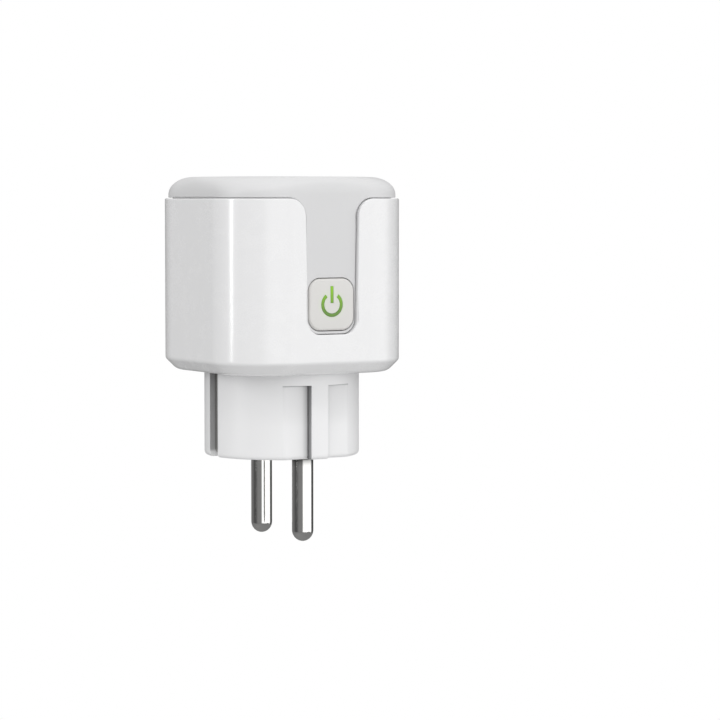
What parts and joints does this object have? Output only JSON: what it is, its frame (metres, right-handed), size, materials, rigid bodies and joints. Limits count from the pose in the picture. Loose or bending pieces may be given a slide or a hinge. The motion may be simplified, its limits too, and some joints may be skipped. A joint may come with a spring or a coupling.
{
  "type": "smart plug",
  "caption": "Compact adapter with a round-pin earthed plug below, a rounded square body with a lit power button, and a shuttered earthed socket on top.",
  "frame": {"origin": "centre of the plug's flat face, where the two pins leave it", "axes": "+Z out of the socket along the pins' direction reversed, -Y out of the side with the power button, +X to the right seen from the button side"},
  "size_m": [0.0458, 0.0458, 0.0815],
  "materials": {
    "white_plastic": "smooth satin",
    "grey_plastic": "smooth satin",
    "button_plastic": "fine satin",
    "green_light": "lit, translucent",
    "nickel": "bright nickel plate",
    "contact_brass": "bare",
    "nylon": "natural",
    "circuit_board": "solder mask",
    "black_plastic": "moulded",
    "blue_coating": "epoxy and relay case",
    "copper": "bare copper",
    "steel": "plated",
    "ferrite": "pressed ferrite",
    "winding_tape": "yellow tape"
  },
  "bodies": {
    "housing": {"outer_shell": "white_plastic", "socket_housing": "grey_plastic", "recess_floor": "grey_plastic", "shutter_spring": "steel", "contact_carrier": "nylon", "line_contact": "contact_brass", "neutral_contact": "contact_brass", "carrier_screw_1": "steel", "carrier_screw_2": "steel", "earth_strap": "nickel", "plug_collar": "white_plastic", "plug_face": "white_plastic", "line_pin": "nickel", "neutral_pin": "nickel", "plug_earth_strip": "nickel", "earth_pin_tube": "nickel", "earth_link": "nickel", "switch_body": "black_plastic", "switch_board": "circuit_board", "status_led": "winding_tape", "main_board": "circuit_board", "line_busbar": "copper", "load_busbar": "copper", "neutral_busbar": "copper", "current_shunt": "copper", "relay_cover": "blue_coating", "relay_base": "black_plastic", "relay_yoke": "steel", "relay_coil": "copper", "relay_fixed_contact": "contact_brass", "transformer_core": "ferrite", "transformer_winding": "winding_tape", "bulk_capacitor": "black_plastic", "output_capacitor": "black_plastic", "surge_varistor": "blue_coating", "fusible_resistor": "nylon", "wifi_board": "circuit_board", "wifi_shield": "steel"},
    "button": {"power_button": "button_plastic", "power_symbol": "green_light", "button_pusher": "button_plastic"},
    "plunger": {"switch_plunger": "nylon"},
    "shutter": {"pin_shutter": "nylon"},
    "right_earth_arm": {"earth_arm_right": "nickel"},
    "left_earth_arm": {"earth_arm_left": "nickel"},
    "armature": {"relay_armature": "steel"}
  },
  "joints": [
    {"name": "button_press", "type": "slide", "parent": "housing", "child": "button", "axis": [0, 1, 0], "range_m": [0, 0.0006], "stiffness_N_per_m": 400},
    {"name": "switch_press", "type": "slide", "parent": "housing", "child": "plunger", "axis": [0, 1, 0], "range_m": [0, 0.0006]},
    {"name": "shutter_slide", "type": "slide", "parent": "housing", "child": "shutter", "axis": [1, 0, 0], "range_m": [0, 0.0063], "stiffness_N_per_m": 120, "deforming": ["shutter_spring"]},
    {"name": "right_earth_flex", "type": "hinge", "parent": "housing", "child": "right_earth_arm", "pos_m": [0.0186, 0, 0.0443], "axis": [0, 1, 0], "range_deg": [0, 4], "stiffness_Nm_per_rad": 0.5},
    {"name": "left_earth_flex", "type": "hinge", "parent": "housing", "child": "left_earth_arm", "pos_m": [-0.0186, 0, 0.0443], "axis": [0, -1, 0], "range_deg": [0, 4], "stiffness_Nm_per_rad": 0.5},
    {"name": "relay_switching", "type": "hinge", "parent": "housing", "child": "armature", "pos_m": [0.0121, 0.0041, 0.0279], "axis": [1, 0, 0], "range_deg": [0, 5], "stiffness_Nm_per_rad": 0.05}
  ],
  "couplings": [
    {"joint": "switch_press", "follows": "button_press", "ratio": 1}
  ]
}
